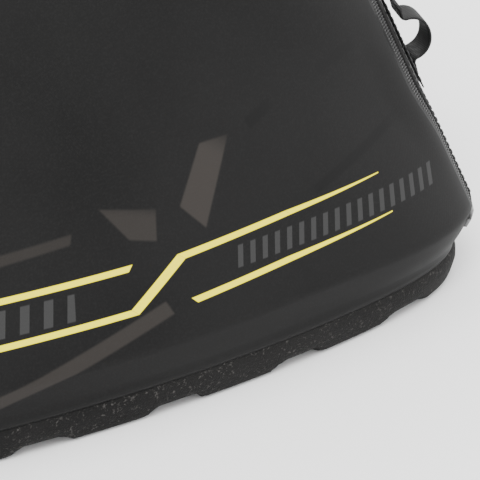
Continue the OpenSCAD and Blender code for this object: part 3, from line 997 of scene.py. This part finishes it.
def inflate(obj, held, voxel, cap, pressure=4.0):
    """Fill a padded piece with air; it is sewn down where held(point) is true."""
    remeshed(obj, voxel)
    group = obj.vertex_groups.new(name="sewn")
    start = [v.co.copy() for v in obj.data.vertices]
    group.add([i for i, co in enumerate(start) if held(co)], 1.0, "REPLACE")
    mod = obj.modifiers.new("cloth", "CLOTH")
    mod.settings.vertex_group_mass = "sewn"
    mod.settings.use_pressure = True
    mod.settings.uniform_pressure_force = pressure
    mod.settings.effector_weights.gravity = 0
    mod.settings.quality = 5
    mod.point_cache.frame_start = 1
    mod.point_cache.frame_end = 20
    scene = bpy.context.scene
    for frame_number in range(1, 21):
        scene.frame_set(frame_number)
    deps = bpy.context.evaluated_depsgraph_get()
    moved = [v.co.copy() for v in obj.evaluated_get(deps).data.vertices]
    obj.modifiers.clear()
    scene.frame_set(1)
    for v, a, b in zip(obj.data.vertices, start, moved):
        step = b - a
        if step.length > cap:
            step *= cap / step.length
        v.co = a + step
    sub = obj.modifiers.new("smooth", "SUBSURF")
    sub.levels = 1
    sub.render_levels = 1
    return settled(obj)


PAD_LOW, PAD_HIGH = 70 * MM, 296 * MM
QUILT = [PAD_LOW + (PAD_HIGH - PAD_LOW) * k / 4 for k in (1, 2, 3)]


def back_pad(side):
    """A quilted pad of spacer mesh, sewn down along its edge and across in three places."""
    rows, cols = 56, 14
    outer, inner = [], []
    for r in range(rows + 1):
        z = mix(PAD_LOW, PAD_HIGH, r / rows)
        near = min(abs(z - q) for q in QUILT)
        out_row, in_row = [], []
        for c in range(cols + 1):
            a = side * mix(148, 174, c / cols)
            edge = min(ease(fade(r, rows, 3)), ease(fade(c, cols, 2)))
            thick = (4 + 4 * min(ease(near / (9 * MM)), edge)) * MM
            out_row.append(skin(a, z) + skin_normal(a, z) * thick)
            in_row.append(skin(a, z) + skin_normal(a, z) * 0.3 * MM)
        outer.append(out_row)
        inner.append(in_row)
    name = "right" if side > 0 else "left"
    obj = shell("back_pad_soft_" + name, outer, inner)
    low_y = BACK_Y + 2.4 * MM

    def held(co):
        return co.y < low_y or min(abs(co.z - q) for q in QUILT) < 4 * MM

    inflate(obj, held, 2 * MM, 3 * MM)
    paint(obj, MESH)
    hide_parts("back_pad_" + name)
    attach(obj, "shell")


STRAP_X, STRAP_W, STRAP_T = 72 * MM, 60 * MM, 10 * MM
STRAP_TOP, STRAP_LOW = 276.6 * MM, 128 * MM
PAD_FACE = BACK_Y + 8.4 * MM


def strap_point(z):
    bulge = 18 * MM * sin(pi * clamp01((z - 70 * MM) / (STRAP_TOP - 70 * MM)))
    return Vector((0, PAD_FACE + STRAP_T / 2 + 0.6 * MM + bulge, z))


def strap(side):
    """A padded shoulder strap with sewn edges."""
    name = "right" if side > 0 else "left"
    middle = Vector((side * STRAP_X, 0, 0))
    path = [middle + strap_point(mix(STRAP_TOP, STRAP_LOW, i / 48)) for i in range(49)]
    normals = []
    for i in range(49):
        d = path[min(48, i + 1)] - path[max(0, i - 1)]
        normals.append(Vector((0, -d.z, d.y)).normalized())
    obj = sweep("strap_soft_" + name, path, normals, oval(STRAP_W, STRAP_T, 32, 3.4))

    def held(co):
        return abs(abs(co.x) - STRAP_X) > STRAP_W / 2 - 4 * MM or co.z < STRAP_LOW + 5 * MM

    inflate(obj, held, 4.5 * MM, 2.5 * MM)
    paint(obj, MESH)
    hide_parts("strap_" + name)
    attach(obj, "shell")
    half = STRAP_W / 2 - 2.5 * MM
    for k in (-1, 1):
        edge = [p + Vector((k * half, 0, 0)) for p in path]
        band = sweep(f"strap_binding_{name}_{'out' if k * side > 0 else 'in'}", edge, normals,
                     oval(8 * MM, STRAP_T + 0.8 * MM, 16, 2.6))
        paint(band, WEBBING)
        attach(band, "shell")


def handle_grip():
    """A padded sleeve over the middle of the handle."""
    low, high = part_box("handle_grip")
    at = (low + high) / 2
    path = [Vector((mix(low.x, high.x, i / 20), at.y, at.z)) for i in range(21)]
    up = [Vector((0, 0, 1))] * 21
    obj = sweep("handle_grip_soft", path, up, oval(high.y - low.y, high.z - low.z, 24, 2.6))

    def held(co):
        return min(co.x - low.x, high.x - co.x) < 4 * MM

    inflate(obj, held, 2.5 * MM, 1.2 * MM)
    paint(obj, SHELL)
    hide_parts("handle_grip")
    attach(obj, "handle")


for side in (1, -1):
    back_pad(side)
    strap(side)
handle_grip()

# ---- webbing, patches and lining ----


def softened(name, node, material, body, voxel, ripple=0.25 * MM):
    """A fabric piece with the outline of a CAD node: rounded edges and an uneven face."""
    source = frame["nodes"][node].data
    points = [v.co.copy() for v in source.vertices]
    obj = new_object(name, points, [tuple(p.vertices) for p in source.polygons])
    bm = bmesh.new()
    bm.from_mesh(obj.data)
    bmesh.ops.remove_doubles(bm, verts=bm.verts, dist=0.01 * MM)
    bm.to_mesh(obj.data)
    bm.free()
    remeshed(obj, voxel)
    smooth = obj.modifiers.new("smooth", "SMOOTH")
    smooth.factor = 0.5
    smooth.iterations = 3
    settled(obj)
    normals = [v.normal.copy() for v in obj.data.vertices]
    for v, n in zip(obj.data.vertices, normals):
        v.co += n * noise.noise(v.co * 70) * ripple
    paint(obj, material)
    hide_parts(node)
    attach(obj, body)
    return obj


def side_names():
    return ("left", "right")


for word in side_names():
    softened("strap_web_soft_" + word, "strap_web_" + word, WEBBING, "shell", 0.8 * MM)
    softened("strap_anchor_soft_" + word, "strap_anchor_" + word, WEBBING, "shell", 1.0 * MM)
    softened("handle_tab_soft_" + word, "handle_tab_" + word, WEBBING, "shell", 0.8 * MM)
softened("strap_yoke_soft", "strap_yoke", WEBBING, "shell", 1.4 * MM)
softened("handle_web_soft", "handle_web", WEBBING, "handle", 0.9 * MM)
softened("boot_divider_soft", "boot_divider", LINING, "shell",
         1.6 * MM, 0.8 * MM)

LOOP_A, LOOP_Z, LOOP_TURN = 54.5, 127 * MM, radians(14)
LOOP_REACH, LOOP_HALF, LOOP_T, LOOP_W = 15 * MM, 14 * MM, 1.8 * MM, 18 * MM
LOOP_STAND = 3.3 * MM


def side_loop(side):
    """A standing loop of folded webbing and the patch it is sewn to."""
    word = "right" if side > 0 else "left"
    turn = Matrix.Rotation(-LOOP_TURN, 4, "Z") @ Matrix.Rotation(-atan(SIDE_LEAN), 4, "Y")
    base = skin(LOOP_A, LOOP_Z)
    bow = LOOP_REACH - LOOP_T / 2
    flat = [(LOOP_T / 2, z * MM, 0.0) for z in (-21.5, -19, -16.5, -14.5)]
    for i in range(1, 30):
        t = -pi / 2 + pi * i / 30
        flat.append((max(LOOP_T / 2, bow * cos(t) ** 0.8), (LOOP_HALF - LOOP_T / 2) * sin(t), t))
    flat += [(LOOP_T / 2, z * MM, 0.0) for z in (14.5, 16.5, 19, 21.5)]
    path, normals = [], []
    for i, (x, z, t) in enumerate(flat):
        p = base + turn @ Vector((x + LOOP_STAND, 0.4 * MM * sin(z * 150), z))
        n = turn @ Vector((cos(t), 0, sin(t)))
        path.append(Vector((side * p.x, p.y, p.z)))
        normals.append(Vector((side * n.x, n.y, n.z)))
    obj = sweep("side_loop_web_" + word, path, normals, oval(LOOP_W, LOOP_T, 20, 5))
    paint(obj, WEBBING)
    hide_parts("side_loop_" + word)
    rows = []
    for depth in (-1.2, -0.3):
        rows.append([
            [skin(a, z) + skin_normal(a, z) * -depth * MM
             for a in [side * mix(50.5, 59, c / 12) for c in range(13)]]
            for z in [mix(103 * MM, 151 * MM, r / 24) for r in range(25)]
        ])
    patch = bevel(shell("side_patch_" + word, rows[0], rows[1]), 0.4 * MM)
    paint(patch, WEBBING)
    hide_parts("side_loop_patch_" + word)
    for piece in (obj, patch):
        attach(piece, "shell")


for side in (1, -1):
    side_loop(side)


def door_pocket():
    """A flat pocket of ripstop inside the door."""
    rows = []
    for depth in (7.5 * MM, 9.1 * MM):
        rows.append([
            [skin(mix(-34, 34, c / 70), z, depth) for c in range(71)]
            for z in [mix(72 * MM, 172 * MM, r / 30) for r in range(31)]
        ])
    obj = paint(shell("door_pocket_cloth", rows[0], rows[1]), LINING)
    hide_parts("door_pocket")
    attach(obj, "door")


door_pocket()

# ---- piping and stitches ----


def piping(name, places, radius=1.5 * MM, closed_path=False):
    """A covered cord in a seam, along [plan direction, height] places."""
    path = [skin(a, z) for a, z in places]
    normals = [skin_normal(a, z) for a, z in places]
    obj = sweep(name, path, normals, oval(2 * radius, 2 * radius, 10), closed_path)
    paint(obj, SHELL)
    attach(obj, "shell")


piping("piping_top", [(2.5 * i, WALL_TOP) for i in range(144)], 1.6 * MM, True)
for side, word in ((1, "right"), (-1, "left")):
    seam = [(side * (BACK_A + 0.1), mix(LEDGE + 3 * MM, WALL_TOP, i / 60)) for i in range(61)]
    piping("piping_back_" + word, seam)


def sewn(name, places, body="shell"):
    """A row of stitches along [plan direction, height] places."""
    path = [skin(a, z) for a, z in places]
    normals = [skin_normal(a, z) for a, z in places]
    obj = paint(stitches(name, path, normals), THREAD)
    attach(obj, body)


gusset = [beside(i, PANEL_GAP + GUSSET_SEAM) for i in range(2, len(ZIP) - 2)]
sewn("stitches_gusset", gusset)
for side, word in ((1, "right"), (-1, "left")):
    for k, a in ((1, BACK_A - 1.6), (2, BACK_A + 1.8)):
        line = [(side * a, mix(LEDGE + 4 * MM, WALL_TOP - 2 * MM, i / 60)) for i in range(61)]
        sewn(f"stitches_back_{word}_{k}", line)
    for k, a in ((1, 51.3), (2, 58.2)):
        path = [skin(side * a, z) + skin_normal(side * a, z) * 1.1 * MM
                for z in [mix(105 * MM, 149 * MM, i / 20) for i in range(21)]]
        normals = [skin_normal(side * a, LOOP_Z)] * 21
        row = paint(stitches(f"stitches_patch_{word}_{k}", path, normals), THREAD)
        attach(row, "shell")

# ---- the moulded and metal parts keep their CAD shapes, with softened edges ----

FINISH = {"zip": TEETH, "board": BOARD, "buckle": BUCKLE, "metal": METAL}
KEPT = ["base_board"] + [
    part + "_" + word
    for part in ("zip_stop", "handle_rivet", "ladder_lock", "zip_slider", "zip_pull", "pull_grip")
    for word in side_names()
]
for node in KEPT:
    material = RUBBER if node.startswith("pull_grip") else FINISH.get(frame["slots"][node], BUCKLE)
    bevel(paint(frame["nodes"][node], material), 0.35 * MM)

# ---- floor, light and camera ----


def stage():
    """A plain pale floor and soft studio lights."""
    floor = new_object(
        "floor", [(-6, -6, 0), (6, -6, 0), (6, 6, 0), (-6, 6, 0)], [(0, 1, 2, 3)], smooth=False)
    n = Nodes("floor_paint")
    n.set("Base Color", (0.95, 0.95, 0.95, 1))
    n.set("Roughness", 0.9)
    paint(floor, n.material)
    world = bpy.data.worlds.new("studio")
    bpy.context.scene.world = world
    world.use_nodes = True
    world.node_tree.nodes["Background"].inputs[0].default_value = (1, 1, 1, 1)
    world.node_tree.nodes["Background"].inputs[1].default_value = 1.9
    for name, at, size, power in (
        ("key", (-0.9, -1.2, 2.2), 1.2, 60),
        ("fill", (2.2, -0.8, 1.4), 1.8, 20),
        ("rim", (0.4, 1.8, 1.8), 1.4, 30),
    ):
        light = bpy.data.lights.new(name, "AREA")
        light.size = size
        light.energy = power
        obj = bpy.data.objects.new(name, light)
        obj.location = at
        obj.rotation_euler = (Vector((0, 0, 0.12)) - Vector(at)).to_track_quat("-Z", "Y").to_euler()
        bpy.context.scene.collection.objects.link(obj)


CAMERA_AZIMUTH = radians(-31.24)
CAMERA_ELEVATION = radians(30.79)
CAMERA_DISTANCE = 1.303
CAMERA_LENS = 189.3
CAMERA_TARGET = Vector((37.8 * MM, FRONT_Y, 94.1 * MM))


def camera():
    """The viewing angle of the reference: from the left and above, close on the lower right."""
    azimuth, elevation = CAMERA_AZIMUTH, CAMERA_ELEVATION
    back = Vector((sin(azimuth) * cos(elevation), -cos(azimuth) * cos(elevation), sin(elevation)))
    data = bpy.data.cameras.new("camera")
    data.lens = CAMERA_LENS
    data.sensor_width = 36
    obj = bpy.data.objects.new("camera", data)
    obj.location = CAMERA_TARGET + back * CAMERA_DISTANCE
    obj.rotation_euler = back.to_track_quat("Z", "Y").to_euler()
    bpy.context.scene.collection.objects.link(obj)
    bpy.context.scene.camera = obj


stage()
camera()
